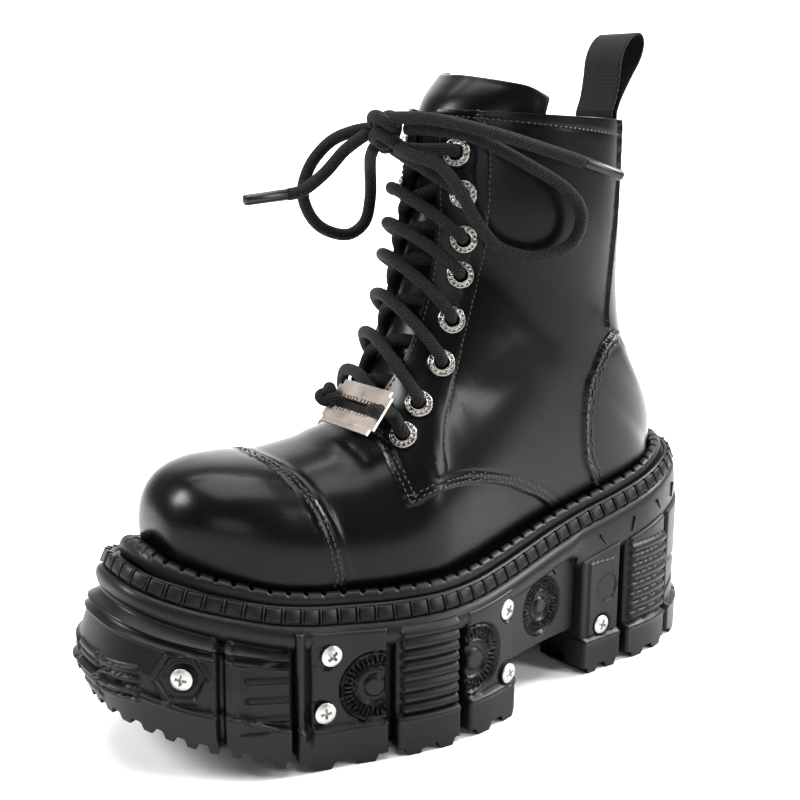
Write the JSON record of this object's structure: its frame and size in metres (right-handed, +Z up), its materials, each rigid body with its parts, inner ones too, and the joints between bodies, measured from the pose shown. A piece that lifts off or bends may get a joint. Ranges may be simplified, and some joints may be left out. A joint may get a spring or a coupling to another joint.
{
  "type": "platform boot",
  "caption": "Black lace-up ankle boot on a thick rubber platform sole with block flanks, metal eyelets, bow, blade charm and pull loop; left boot.",
  "frame": {"origin": "middle of the underside of the boot's box, on the ground", "axes": "+Z up, +Y from toe to heel, +X to the outer side"},
  "size_m": [0.1214, 0.3094, 0.2891],
  "materials": {
    "leather": "semi-gloss smooth leather",
    "rubber": "matte moulded rubber",
    "lining": "matte textile",
    "lace": "round braided cord",
    "ribbon": "woven ribbon",
    "tip": "dark metal",
    "screw": "pale nickel",
    "eyelet": "antique silver",
    "charm": "champagne steel"
  },
  "bodies": {
    "root": {"aglet_l": "tip", "aglet_m": "tip", "blade_charm": "charm", "eyelet_l_1": "eyelet", "eyelet_l_2": "eyelet", "eyelet_l_3": "eyelet", "eyelet_l_4": "eyelet", "eyelet_l_5": "eyelet", "eyelet_l_6": "eyelet", "eyelet_l_7": "eyelet", "eyelet_l_8": "eyelet", "eyelet_m_1": "eyelet", "eyelet_m_2": "eyelet", "eyelet_m_3": "eyelet", "eyelet_m_4": "eyelet", "eyelet_m_5": "eyelet", "eyelet_m_6": "eyelet", "eyelet_m_7": "eyelet", "eyelet_m_8": "eyelet", "insole": "lining", "lace_crossings": "lace", "lace_end_l": "lace", "lace_end_m": "lace", "lace_knot": "lace", "lace_loop_l": "lace", "lace_loop_m": "lace", "outsole": "rubber", "pull_loop": "ribbon", "screw_l_1": "screw", "screw_l_2": "screw", "screw_l_3": "screw", "screw_l_4": "screw", "screw_l_5": "screw", "screw_l_6": "screw", "screw_m_1": "screw", "screw_m_2": "screw", "screw_m_3": "screw", "screw_m_4": "screw", "screw_m_5": "screw", "screw_m_6": "screw", "tongue": "leather", "upper": "leather", "welt": "rubber"}
  },
  "joints": []
}
